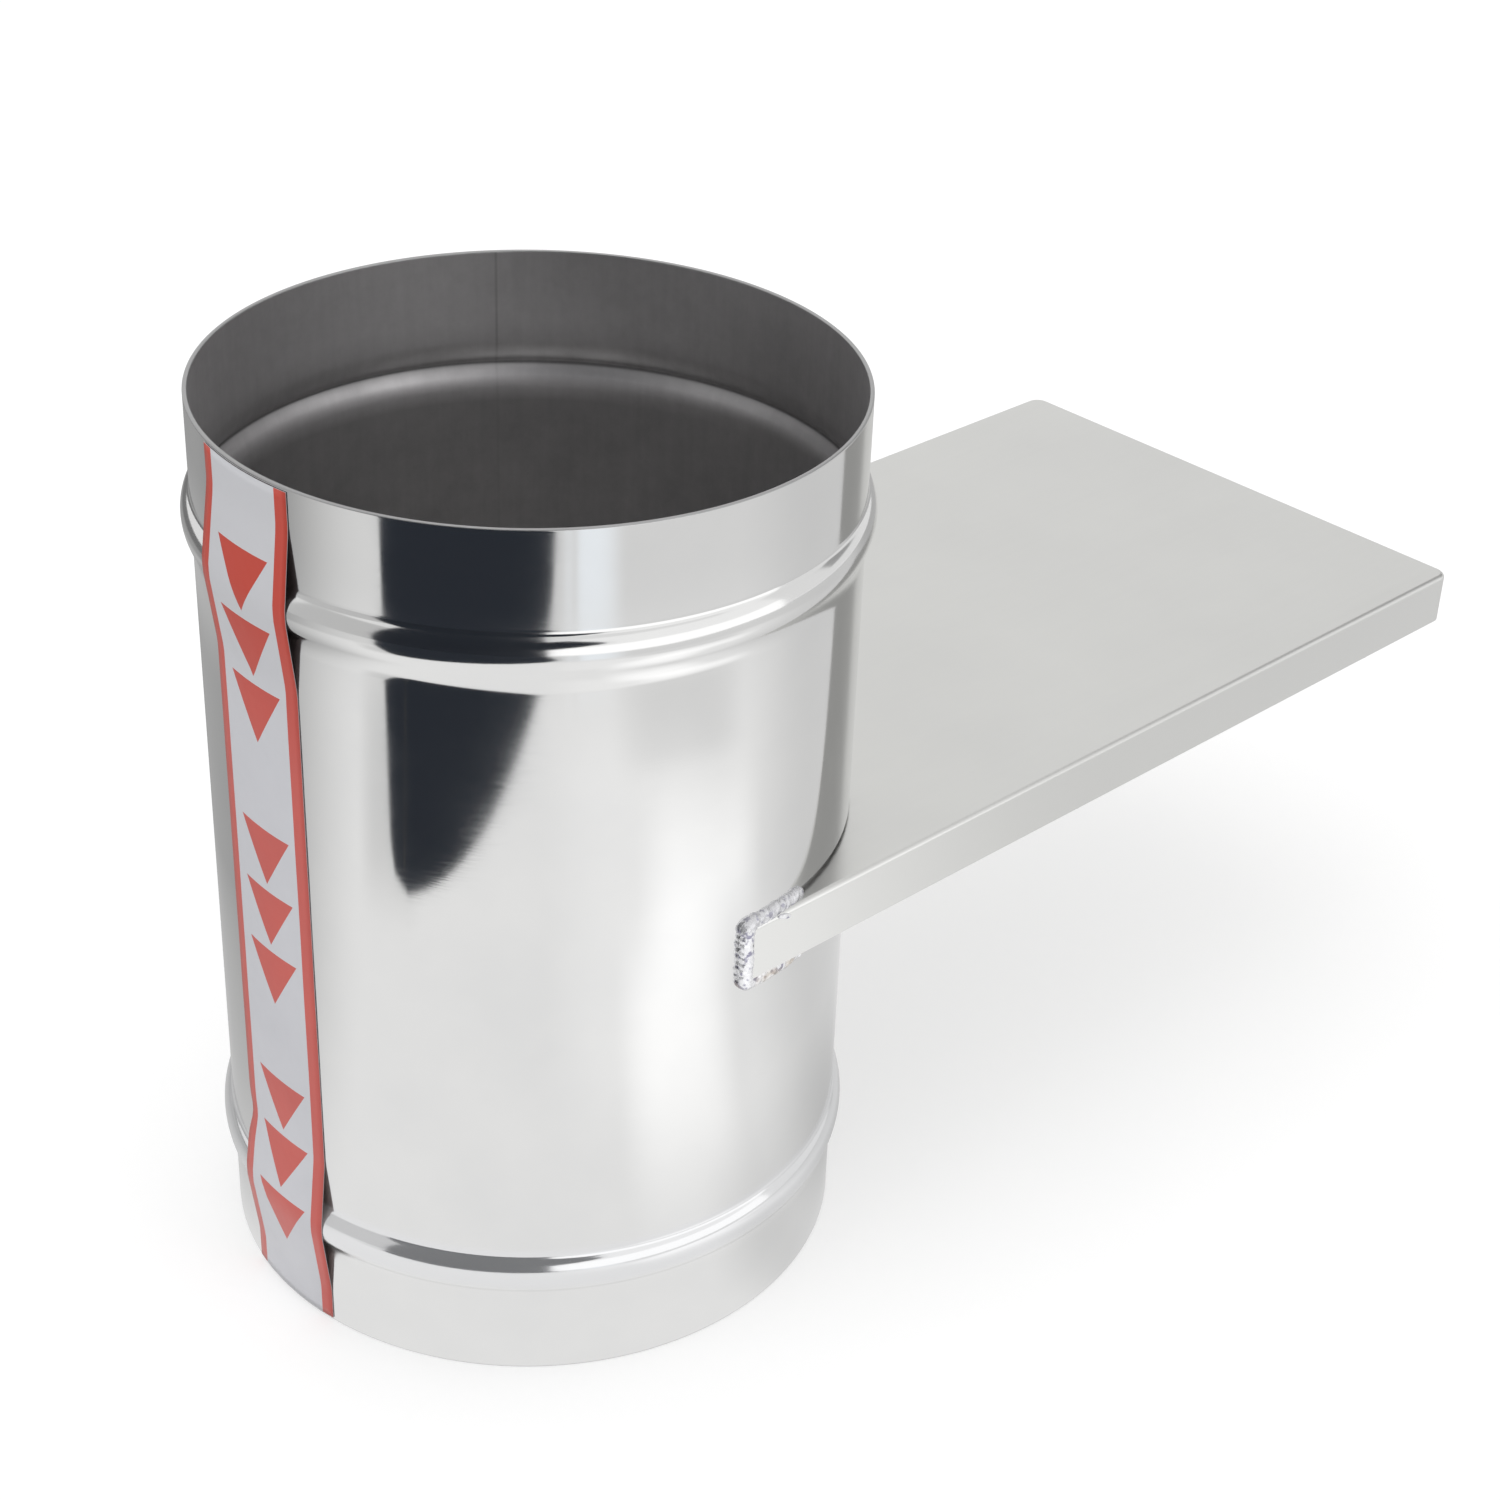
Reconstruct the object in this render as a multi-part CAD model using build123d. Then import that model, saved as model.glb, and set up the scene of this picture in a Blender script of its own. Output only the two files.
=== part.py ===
from build123d import *
import os
from math import asin, atan2, cos, degrees, hypot, sin, sqrt

# Duct slide gate in millimetres. The origin is the centre of the pipe's lower rim,
# +Z runs up the pipe and +X is the way the blade is pulled to open the duct.

# Flue pipe
pipe_diameter = 150.0
pipe_wall = 1.0
pipe_height = 220.0
bead_offset = 28.5
bead_height = 2.2
bead_width = 11.2

# Folded case that the blade slides into
case_sheet = 0.8
case_middle_height = 107.0
case_thickness = 14.0
case_reach = 266.0
case_side_gap = 0.7
case_corner_bend = 3.2
case_fold_bend = 0.5
slot_gap = 1.2
floor_gap = 0.1

# Blade with its tongue and pull lip
blade_sheet = 1.0
blade_bore_gap = 0.5
blade_travel = 148.0
blade_stop_gap = 2.0
blade_corner = 3.0
tongue_width = 70.0
tongue_slot_gap = 0.5
lip_standoff = 10.0
lip_drop = 12.0
lip_bend = 1.0
lip_corner = 4.0

# Guide rails that carry the blade's edges
rail_sheet = 0.8
rail_depth = 9.0
rail_lift_gap = 0.4
rail_end_gap = 2.0
rail_fold = 0.6

# Welds
weld_radius = 1.9
weld_sink = 0.5
weld_top_run = 18.5
weld_floor_run = 20.0
tack_radius = 1.2
tack_height = 0.3
tack_edge_gap = 0.2
tack_margin = 36.0

# Printed film stuck down the side away from the case
film_width = 32.0
film_thickness = 0.12
film_adhesive = 0.2
film_tent = 19.0
film_rim_gap = 0.8

# Sizes that follow from the ones above
pipe_radius = pipe_diameter / 2
bore_radius = pipe_radius - pipe_wall
bead_radius = (bead_width**2 / 4 + bead_height**2) / (2 * bead_height)
lower_bead_height = bead_offset
upper_bead_height = pipe_height - bead_offset

case_floor_height = case_middle_height - case_thickness / 2
case_top_height = case_middle_height + case_thickness / 2
case_inner_half = pipe_radius + case_side_gap
case_outer_half = case_inner_half + case_sheet
end_wall_inside = case_reach - case_sheet

blade_radius = bore_radius - blade_bore_gap
shoulder_place = end_wall_inside - blade_stop_gap - blade_travel
lip_outside = case_reach + lip_standoff + blade_sheet
blade_underside = case_middle_height - blade_sheet / 2

rail_inner_half = case_inner_half - rail_depth
rail_start = sqrt(bore_radius**2 - rail_inner_half**2) + rail_end_gap
rail_groove = blade_sheet + 2 * rail_lift_gap
rail_height = rail_groove + 2 * rail_sheet

MIDDLE_AND_LOW = (Align.MIN, Align.CENTER, Align.MIN)


def bead_half_width(inset):
    """Half the height of the bead where its arc, drawn inset from the outside, meets the wall."""
    arc_radius = bead_radius - inset
    return sqrt(arc_radius**2 - (arc_radius - bead_height) ** 2)


def bead_edge(inset, height):
    """Section of one rolled bead, a single arc that stands proud of the wall."""
    wall = pipe_radius - inset
    half_width = bead_half_width(inset)
    crest = (wall + bead_height, 0, height)
    return Edge.make_three_point_arc((wall, 0, height - half_width), crest, (wall, 0, height + half_width))


def wall_edges(inset):
    """Section of one face of the pipe wall, from the lower rim to the upper rim."""
    wall = pipe_radius - inset
    half_width = bead_half_width(inset)
    low_end = (wall, 0, lower_bead_height - half_width)
    middle_start = (wall, 0, lower_bead_height + half_width)
    middle_end = (wall, 0, upper_bead_height - half_width)
    top_start = (wall, 0, upper_bead_height + half_width)
    return [
        Edge.make_line((wall, 0, 0), low_end),
        bead_edge(inset, lower_bead_height),
        Edge.make_line(middle_start, middle_end),
        bead_edge(inset, upper_bead_height),
        Edge.make_line(top_start, (wall, 0, pipe_height)),
    ]


def case_outline(inset):
    """Plan of the case, square at the pipe and rounded at the far corners."""
    plan = Rectangle(
        case_reach - inset,
        2 * (case_outer_half - inset),
        align=(Align.MIN, Align.CENTER),
    )
    far_corners = plan.vertices().group_by(Axis.X)[-1]
    return fillet(far_corners, case_corner_bend + case_sheet - inset)


def case_block(inset, low, high):
    """Solid that fills the case's plan between two heights."""
    return Pos(0, 0, low) * extrude(case_outline(inset), high - low)


def bore_block():
    """Solid that fills the pipe's bore, longer than the pipe."""
    return Pos(0, 0, pipe_height / 2) * Cylinder(bore_radius, 2 * pipe_height)


def slot_block():
    """Solid that cuts the pipe's slot, from the pipe's middle plane towards +X."""
    height = case_thickness + 2 * slot_gap
    block = Box(pipe_diameter, 2 * pipe_diameter, height, align=MIDDLE_AND_LOW)
    return Pos(0, 0, case_floor_height - slot_gap) * block


def make_pipe():
    """Beaded pipe with a slot half way round for the case."""
    rims = [
        Edge.make_line((bore_radius, 0, 0), (pipe_radius, 0, 0)),
        Edge.make_line((bore_radius, 0, pipe_height), (pipe_radius, 0, pipe_height)),
    ]
    section = Face(Wire(wall_edges(0) + wall_edges(pipe_wall) + rims))
    return revolve(section, Axis.Z) - slot_block()


def make_case():
    """Folded pan: top sheet, two side walls and the end wall with the tongue's slot."""
    inside_top = case_top_height - case_sheet
    pan = case_block(0, case_floor_height, case_top_height)
    folds = pan.edges().group_by(Axis.Z)[-1].filter_by(lambda edge: edge.center().X > case_sheet)
    pan = fillet(folds, case_fold_bend + case_sheet)
    hollow = case_block(case_sheet, case_floor_height, inside_top)
    longer_than_wall = 4 * case_sheet
    slot = Pos(case_reach, 0, case_middle_height) * Box(
        longer_than_wall,
        tongue_width + 2 * tongue_slot_gap,
        blade_sheet + 2 * tongue_slot_gap,
    )
    return pan - hollow - bore_block() - slot


def make_floor():
    """Flat sheet that closes the pan from below."""
    inset = case_sheet + floor_gap
    return case_block(inset, case_floor_height, case_floor_height + case_sheet) - bore_block()


def make_rail(side):
    """Channel along one side wall; side is -1 for the wall at -Y and 1 for +Y."""
    length = end_wall_inside - case_corner_bend - rail_end_gap - rail_start
    middle = Pos(rail_start + length / 2, side * (case_inner_half - rail_depth / 2), case_middle_height)
    channel = Box(length, rail_depth, rail_height)
    folds = channel.edges().filter_by(Axis.X).group_by(Axis.Y)[-1 if side > 0 else 0]
    channel = fillet(folds, rail_fold)
    groove = Pos(0, -side * rail_sheet, 0) * Box(2 * length, rail_depth, rail_groove)
    return middle * (channel - groove)


def make_blade():
    """Sheet with a round nose, two stop shoulders, and a tongue folded down to a lip."""
    nose = Circle(blade_radius)
    body = Rectangle(shoulder_place, 2 * blade_radius, align=(Align.MIN, Align.CENTER))
    plan = nose + fillet(body.vertices().group_by(Axis.X)[-1], blade_corner)
    sheet = Pos(0, 0, blade_underside) * extrude(plan, blade_sheet)
    overlap = 4 * blade_corner
    root = shoulder_place - overlap
    top = blade_underside + blade_sheet
    tip = blade_underside - lip_drop
    corners = [
        (root, 0, blade_underside),
        (root, 0, top),
        (lip_outside, 0, top),
        (lip_outside, 0, tip),
        (lip_outside - blade_sheet, 0, tip),
        (lip_outside - blade_sheet, 0, blade_underside),
    ]
    section = Face(Wire.make_polygon(corners))
    tongue = extrude(section, tongue_width / 2, dir=(0, 1, 0), both=True)
    across = tongue.edges().filter_by(Axis.Y)
    outer_fold = across.sort_by_distance((lip_outside, 0, top))[0]
    inner_fold = across.sort_by_distance((lip_outside - blade_sheet, 0, blade_underside))[0]
    lip_edges = tongue.edges().filter_by(Axis.X).group_by(Axis.Z)[0]
    tongue = fillet(lip_edges, lip_corner)
    tongue = fillet(tongue.edges().sort_by_distance(outer_fold.center())[0], lip_bend + blade_sheet)
    tongue = fillet(tongue.edges().sort_by_distance(inner_fold.center())[0], lip_bend)
    return sheet + tongue


def make_welds():
    """Weld beads round the case's two corners, lying on the pipe and on the case's faces."""
    radius = pipe_radius - weld_sink
    top = case_top_height + slot_gap / 2
    low = case_floor_height - slot_gap / 2
    low_align = (Align.CENTER, Align.CENTER, Align.MIN)
    drop = top - low + weld_radius
    weld = Pos(-weld_sink, weld_sink - case_outer_half, low - weld_radius / 2)
    weld = weld * Cylinder(weld_radius, drop, align=low_align)
    for run, height in ((weld_top_run, top), (weld_floor_run, low)):
        turn = asin(run / pipe_radius)
        start = Vector(-weld_radius / 2, -radius, height)
        along = Vector(radius * sin(turn), -radius * cos(turn), height) - start
        weld += Plane(start, z_dir=along) * Cylinder(weld_radius, along.length, align=low_align)
    case_solid = case_block(0, case_floor_height, case_top_height)
    pipe_solid = Pos(0, 0, pipe_height / 2) * Cylinder(pipe_radius, 2 * pipe_height)
    near = max((weld - pipe_solid - case_solid).solids(), key=lambda solid: solid.volume)
    return Compound([near, mirror(near, Plane.XZ)])


def make_tacks():
    """Small weld spots across the seam between the side walls and the floor sheet."""
    across = case_outer_half - tack_edge_gap - tack_radius
    spots = []
    for along in (pipe_radius + tack_margin, case_reach - tack_margin):
        spots.append((along, -across))
        spots.append((along, across))
    high_align = (Align.CENTER, Align.CENTER, Align.MAX)
    cap = Cylinder(tack_radius, tack_height, align=high_align)
    return Compound([(Pos(x, y, case_floor_height) * cap).solid() for x, y in spots])


def film_edges(offset):
    """Section of one face of the film, stretched straight from the wall to each bead's crest."""
    wall = pipe_radius + offset
    crest = bead_radius + offset
    middle = pipe_radius + bead_height - bead_radius
    reach = hypot(film_tent, wall - middle)
    slope = atan2(wall - middle, film_tent)
    turn = asin(crest / reach) - slope
    touch_out = middle + crest * cos(turn)
    touch_along = crest * sin(turn)
    low = film_rim_gap
    high = pipe_height - film_rim_gap
    at_lower = (touch_out, 0, lower_bead_height + touch_along)
    at_upper = (touch_out, 0, upper_bead_height - touch_along)
    past_lower = (touch_out, 0, lower_bead_height - touch_along)
    past_upper = (touch_out, 0, upper_bead_height + touch_along)
    return [
        Edge.make_line((wall, 0, low), (wall, 0, lower_bead_height - film_tent)),
        Edge.make_line((wall, 0, lower_bead_height - film_tent), past_lower),
        Edge.make_three_point_arc(past_lower, (middle + crest, 0, lower_bead_height), at_lower),
        Edge.make_line(at_lower, (wall, 0, lower_bead_height + film_tent)),
        Edge.make_line(
            (wall, 0, lower_bead_height + film_tent), (wall, 0, upper_bead_height - film_tent)
        ),
        Edge.make_line((wall, 0, upper_bead_height - film_tent), at_upper),
        Edge.make_three_point_arc(at_upper, (middle + crest, 0, upper_bead_height), past_upper),
        Edge.make_line(past_upper, (wall, 0, upper_bead_height + film_tent)),
        Edge.make_line((wall, 0, upper_bead_height + film_tent), (wall, 0, high)),
    ]


def make_film():
    """Printed strip from rim to rim on the side of the pipe away from the case."""
    inner = film_edges(film_adhesive)
    outer = film_edges(film_adhesive + film_thickness)
    ends = [
        Edge.make_line(inner[0] @ 0, outer[0] @ 0),
        Edge.make_line(inner[-1] @ 1, outer[-1] @ 1),
    ]
    section = Face(Wire(inner + outer + ends))
    angle = degrees(film_width / pipe_radius)
    strip = revolve(section, Axis.Z, angle)
    return Rot(0, 0, 180 - angle / 2) * strip


nodes = {
    "flue_pipe": make_pipe(),
    "gate_case": make_case(),
    "case_floor": make_floor(),
    "guide_rail_near": make_rail(-1),
    "guide_rail_far": make_rail(1),
    "slide_blade": make_blade(),
    "corner_welds": make_welds(),
    "seam_tacks": make_tacks(),
    "arrow_film": make_film(),
}

os.makedirs("parts", exist_ok=True)
for name, shape in nodes.items():
    export_step(shape, f"parts/{name}.step")
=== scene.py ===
"""Looks of the duct slide gate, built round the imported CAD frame, in metres."""

import math

import bmesh
import bpy
from mathutils import Matrix, Vector, noise
from mathutils.geometry import delaunay_2d_cdt


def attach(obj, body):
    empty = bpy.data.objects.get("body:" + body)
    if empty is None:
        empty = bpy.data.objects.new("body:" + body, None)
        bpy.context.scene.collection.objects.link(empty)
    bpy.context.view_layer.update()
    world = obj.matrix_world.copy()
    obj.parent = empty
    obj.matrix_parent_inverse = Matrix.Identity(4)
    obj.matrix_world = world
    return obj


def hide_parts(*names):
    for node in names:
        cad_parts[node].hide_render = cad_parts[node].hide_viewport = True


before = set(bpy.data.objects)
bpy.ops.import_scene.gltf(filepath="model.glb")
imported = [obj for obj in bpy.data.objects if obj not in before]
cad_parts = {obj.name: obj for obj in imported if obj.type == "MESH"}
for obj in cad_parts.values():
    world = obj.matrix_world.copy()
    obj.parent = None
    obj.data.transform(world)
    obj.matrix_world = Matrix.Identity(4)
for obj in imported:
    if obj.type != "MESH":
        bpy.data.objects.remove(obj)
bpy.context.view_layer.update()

MM = 0.001
ROOT = "pipe_and_case"

# Pipe and case, in millimetres
PIPE_RADIUS = 75.0
PIPE_WALL = 1.0
PIPE_HEIGHT = 220.0
CASE_LOW = 100.0
CASE_HIGH = 114.0
CASE_HALF = 76.5
SLOT_GAP = 1.2
RIM_ROUND = 0.3
SEAM_PLACE = math.radians(57.0) * PIPE_RADIUS

# Beads, in millimetres. The arcs are the radius of the crest and of the root, for the lower half and then the
# upper half
BEAD_OFFSET = 28.5
BEAD_HEIGHT = 2.2
BEAD_ARCS = ((7.8, 10.7), (7.0, 2.2))
GROOVE_ARCS = ((1.0, 10.5), (1.0, 10.5))
GROOVE_DROP = 1.0

# Rows and columns of the pipe's mesh. The steps are those of a crest and of a root
BEAD_STEPS = (14, 15)
GROOVE_STEPS = (4, 14)
RIM_STEPS = 8
ROW_GAP = 0.25
PIPE_COLUMNS = 360
SHARP_EDGE = math.radians(40)

# Printed film, in millimetres
FILM_LEFT = -16.0
FILM_RIGHT = 14.3
FILM_SHIFT = 0.5
FILM_LEAN = 0.0045
FILM_GAP = 0.2
FILM_THICKNESS = 0.12
FILM_RIM_GAP = 0.8
FILM_TENT = 19.0
FILM_CREST_FLAT = 1.5
FILM_CREASE = 46.0
FILM_CREASE_REACH = 4.5
FILM_CREASE_SHIFT = 1.5
FILM_WAVE = 0.07
FILM_WAVE_START = 3.1
FILM_WAVE_ACROSS = 0.06
FILM_WAVE_UP = 0.05
FILM_ROWS = 110
FILM_COLUMNS = 16
ARROW_HALF = 8.85
ARROW_HEIGHT = 14.4
ARROW_PITCH = 16.3
ARROW_GROUP_TOPS = (202.0, 133.0, 64.3)
ARROWS_IN_GROUP = 3
ARROW_TOPS = [top - ARROW_PITCH * step for top in ARROW_GROUP_TOPS for step in range(ARROWS_IN_GROUP)]
ARROW_STEPS = 9
LINE_WIDTH = 3.5
LINE_CLEAR = 0.4
MERGE_GAP = 0.02

# Corner welds, in millimetres. Lumps and grain are a height as a share of the radius, a noise scale round and
# along the bead, and where in the noise they start
WELD_RADIUS = 2.0
WELD_STEPS = 70
WELD_AROUND = 24
WELD_TOP_RUN = 18.0
WELD_LOW_RUN = 20.0
WELD_OVER_CASE = 0.3
WELD_UNDER_CASE = 1.5
WELD_BEHIND = 1.6
WELD_INSET = 0.8
WELD_SMOOTHING = 16
WELD_LEAN = 0.3
WELD_END_SIZE = 0.3
WELD_TAPER = 6
WELD_MEAN = 0.95
WELD_FLATNESS = 0.8
WELD_LUMPS = (0.16, 0.9, 0.55, (0.0, 7.0))
WELD_GRAIN = (0.10, 2.2, 1.9, (3.0, 1.0))
WELD_RIPPLE = 0.04
WELD_RIPPLE_PITCH = 1.7
WELD_RIPPLE_SWEEP = 0.4
SPATTER_PLACE = (9.3, -CASE_HALF, 112.9)
SPATTER_TURN = 0.35
SPATTER_SIZE = (2.1, 0.55, 0.7)

# Colours, as linear red, green, blue and alpha. The film has its colour, a darker one and one near the top
POLISHED_CLEAN = (0.765, 0.763, 0.757, 1)
POLISHED_SMUDGED = (0.735, 0.735, 0.732, 1)
POLISHED_LOW_BEAD = (0.77, 0.772, 0.78, 1)
INNER_DEEP = (0.39, 0.382, 0.387, 1)
INNER_DEEP_PALE = (0.49, 0.48, 0.485, 1)
# Painted light: lighter tones for the inside's neck, plain and pale like the deep ones
INNER_PAINTED_LIGHT = (0.66, 0.647, 0.655, 1)
INNER_PAINTED_LIGHT_PALE = (0.81, 0.794, 0.802, 1)
# Painted shade in the inner groove's crease
INNER_CREASE_SHADE = (0.10, 0.098, 0.10, 1)
INNER_SEAM = (0.12, 0.118, 0.12, 1)
SATIN = (0.708, 0.708, 0.688, 1)
SATIN_DARKER = (0.678, 0.678, 0.662, 1)
# Painted reflection: a brighter colour for the side walls
SATIN_PAINTED_SHEEN = (0.80, 0.80, 0.785, 1)
BLADE = (0.56, 0.56, 0.55, 1)
BLADE_DARKER = (0.50, 0.50, 0.495, 1)
CUT_EDGE = (0.46, 0.46, 0.46, 1)
CUT_EDGE_DARKER = (0.40, 0.40, 0.40, 1)
WELD_BRIGHT = (0.93, 0.93, 0.95, 1)
WELD_SPECK = (0.34, 0.33, 0.43, 1)
WELD_TOP = (0.47, 0.47, 0.49, 1)
WELD_STRAW = (0.60, 0.52, 0.42, 1)
FILM_GREY = ((0.59, 0.593, 0.625, 1), (0.56, 0.563, 0.595, 1), (0.545, 0.548, 0.572, 1))
# The deeper red near the top is painted: it stands in for less sheen there
FILM_RED = ((0.57, 0.10, 0.08, 1), (0.52, 0.10, 0.085, 1), (0.50, 0.055, 0.034, 1))
# The back is painted dark near the top, as shade where the film stands off the wall
FILM_BACK_PAINTED_SHADE = ((0.46, 0.36, 0.35, 1), (0.42, 0.33, 0.32, 1), (0.13, 0.10, 0.10, 1))
WHITE = (1.0, 1.0, 1.0, 1)
STREAK_BLUE = (0.92, 0.96, 1.0, 1)
FLOOR_GREY = (0.62, 0.62, 0.62, 1)
CARD_BLACK = (0.022, 0.026, 0.034, 1)

# Where the finish changes and where light and shade are painted, in metres: heights, and distances from the
# seam, a bead or the pipe's axis
LOW_BEAD_BAND = ((0.0245, 0.0275), (0.0345, 0.0365))
LOW_ROOT_BAND = ((0.018, 0.021), (0.0265, 0.0285))
UPPER_BEAD_REACH = (0.006, 0.011)
# Painted light on the inside: lighter from below the groove to the rim, on a stretch round the seam, weaker
# just over the groove
PAINTED_LIGHT_BOTTOM = (0.181, 0.185)
PAINTED_LIGHT_FADE = (0.197, 0.219)
PAINTED_LIGHT_LEFT = (0.02, 0.085)
PAINTED_LIGHT_LEFT_END = (0.095, 0.155)
PAINTED_LIGHT_RIGHT = (-0.075, -0.012)
BAND_TOP = (0.1897, 0.1903)
NECK_BOTTOM = (0.1925, 0.2025)
# Painted shade: a dark line in the inner groove's crease, fading out below it
CREASE_SHADE_BOTTOM = (0.1875, 0.1899)
CREASE_SHADE_TOP = (0.1904, 0.1909)
SEAM_EDGE = (0.0001, 0.0005)
SEAM_FADE = (0.186, 0.2)
SIDE_WALL = (0.0757, 0.0762)
# Painted reflection on the side walls, strongest near the pipe and towards the far end
PAINTED_SHEEN_NEAR = (0.02, 0.085)
PAINTED_SHEEN_FAR = (0.12, 0.26)
WELD_TOP_BAND = (0.1125, 0.1145)
WELD_STRAW_BAND = (0.0985, 0.1005)
FILM_HIGH_BAND = (0.15, 0.188)


# Mesh helpers

def add_piece(name, mesh, slot, materials, *nodes):
    """Links a mesh as a piece of the fixed body, in place of the named solids."""
    piece = bpy.data.objects.new(name, mesh)
    bpy.context.scene.collection.objects.link(piece)
    for material in materials:
        mesh.materials.append(material)
    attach(piece, ROOT)
    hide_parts(*nodes)
    return piece


def finished_mesh(mesh, name, sharp_edge=None):
    """Mesh data from a bmesh, with every face turned outwards and edges past an angle marked as sharp."""
    bmesh.ops.recalc_face_normals(mesh, faces=mesh.faces)
    if sharp_edge is not None:
        for edge in mesh.edges:
            edge.smooth = edge.calc_face_angle(0.0) < sharp_edge
    data = bpy.data.meshes.new(name)
    mesh.to_mesh(data)
    mesh.free()
    return data


def polar(radius, angle, height):
    """Point in metres from a radius and height in millimetres and an angle in radians."""
    return Vector((radius * math.cos(angle), radius * math.sin(angle), height)) * MM


def arc_points(centre, radius, start, end, count):
    """Points on an arc in the section plane, both ends included."""
    points = []
    for step in range(count + 1):
        angle = start + (end - start) * step / count
        points.append((centre[0] + radius * math.cos(angle), centre[1] + radius * math.sin(angle)))
    return points


# Node helpers

def new_material(name):
    """A material with a node tree, and its shader node."""
    material = bpy.data.materials.new(name)
    material.use_nodes = True
    return material, material.node_tree, material.node_tree.nodes["Principled BSDF"]


def put(socket, value):
    """Sets a socket to a constant, or links it to another socket."""
    if isinstance(value, bpy.types.NodeSocket):
        socket.id_data.links.new(value, socket)
    elif value is not None:
        socket.default_value = value


def math_node(tree, operation, first, second=None):
    """Result of a math node on one or two values."""
    node = tree.nodes.new("ShaderNodeMath")
    node.operation = operation
    put(node.inputs[0], first)
    put(node.inputs[1], second)
    return node.outputs[0]


def chain_node(tree, operation, *values):
    """One math operation carried along a row of values."""
    result = values[0]
    for value in values[1:]:
        result = math_node(tree, operation, result, value)
    return result


def noise_node(tree, vector, scale, detail=3.0, rough=0.55):
    """Noise value between about 0 and 1."""
    node = tree.nodes.new("ShaderNodeTexNoise")
    put(node.inputs["Vector"], vector)
    put(node.inputs["Scale"], scale)
    put(node.inputs["Detail"], detail)
    put(node.inputs["Roughness"], rough)
    return node.outputs["Fac"]


def range_node(tree, value, low=0.0, high=1.0, to_low=0.0, to_high=1.0, smooth=False):
    """A value moved from one range to another and held inside it."""
    node = tree.nodes.new("ShaderNodeMapRange")
    node.interpolation_type = "SMOOTHSTEP" if smooth else "LINEAR"
    for name, number in zip(("Value", "From Min", "From Max", "To Min", "To Max"),
                            (value, low, high, to_low, to_high)):
        put(node.inputs[name], number)
    return node.outputs["Result"]


def band_node(tree, value, rise, fall, strength=1.0):
    """Soft band: the value rises to a strength over one range and falls back to 0 over another."""
    return chain_node(tree, "MULTIPLY", range_node(tree, value, *rise, smooth=True),
                      range_node(tree, value, *fall, to_low=strength, to_high=0.0, smooth=True))


def mix_node(tree, share, first, second):
    """Blend of two colours."""
    node = tree.nodes.new("ShaderNodeMix")
    node.data_type = "RGBA"
    put(node.inputs[0], share)
    put(node.inputs[6], first)
    put(node.inputs[7], second)
    return node.outputs[2]


def bump_node(tree, height, distance, strength=1.0, normal=None):
    """Normal bent by a height in metres."""
    node = tree.nodes.new("ShaderNodeBump")
    put(node.inputs["Strength"], strength)
    put(node.inputs["Distance"], distance)
    put(node.inputs["Height"], height)
    if normal is not None:
        put(node.inputs["Normal"], normal)
    return node.outputs["Normal"]


def position_node(tree):
    """Place in the row frame, which is the object's own frame, and its three parts."""
    coordinates = tree.nodes.new("ShaderNodeTexCoord").outputs["Object"]
    parts = tree.nodes.new("ShaderNodeSeparateXYZ")
    put(parts.inputs[0], coordinates)
    return coordinates, parts.outputs[0], parts.outputs[1], parts.outputs[2]


def vector_node(tree, x, y, z):
    """Vector from three values."""
    node = tree.nodes.new("ShaderNodeCombineXYZ")
    put(node.inputs[0], x)
    put(node.inputs[1], y)
    put(node.inputs[2], z)
    return node.outputs[0]


def around_node(tree, x, y):
    """Distance round the pipe's wall in metres."""
    angle = math_node(tree, "ARCTAN2", y, x)
    return math_node(tree, "MULTIPLY", angle, PIPE_RADIUS * MM)


def unrolled_node(tree, around, z, across=1.0, up=1.0):
    """Place on the unrolled wall, with a factor each way that draws a pattern out where it is small."""
    wide = math_node(tree, "MULTIPLY", around, across)
    tall = math_node(tree, "MULTIPLY", z, up)
    return vector_node(tree, wide, tall, 0.0)


# Materials

def polished_steel():
    """Mirror polished sheet with slow waves, fine polish lines and faint smudges, duller at the beads."""
    material, tree, shader = new_material("polished_steel")
    place, x, y, z = position_node(tree)
    around = around_node(tree, x, y)
    waves = noise_node(tree, unrolled_node(tree, around, z, up=0.45), scale=16.0, detail=1.0)
    lines = noise_node(tree, unrolled_node(tree, around, z, across=0.06), scale=2600.0, detail=2.0)
    smudge = noise_node(tree, place, scale=34.0, detail=4.0)
    low_bead = band_node(tree, z, *LOW_BEAD_BAND)
    low_root = band_node(tree, z, *LOW_ROOT_BAND)
    sheet = mix_node(tree, range_node(tree, smudge, low=0.35, high=0.7), POLISHED_CLEAN, POLISHED_SMUDGED)
    put(shader.inputs["Base Color"], mix_node(tree, low_bead, sheet, POLISHED_LOW_BEAD))
    put(shader.inputs["Metallic"], range_node(tree, low_bead, to_low=1.0, to_high=0.77))
    from_bead = math_node(tree, "SUBTRACT", z, (PIPE_HEIGHT - BEAD_OFFSET) * MM)
    from_bead = math_node(tree, "ABSOLUTE", from_bead)
    rough = chain_node(
        tree, "ADD",
        range_node(tree, smudge, low=0.3, high=0.75, to_low=0.045, to_high=0.10),
        range_node(tree, lines, low=0.3, high=0.7, to_low=0.0, to_high=0.03),
        range_node(tree, from_bead, *UPPER_BEAD_REACH, to_low=0.03, to_high=0.0, smooth=True),
        range_node(tree, low_root, to_high=0.14),
        range_node(tree, low_bead, to_high=0.02),
    )
    put(shader.inputs["Roughness"], rough)
    wavy = bump_node(tree, waves, distance=0.00022)
    put(shader.inputs["Normal"], bump_node(tree, lines, distance=0.000002, strength=0.6, normal=wavy))
    return material


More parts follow.
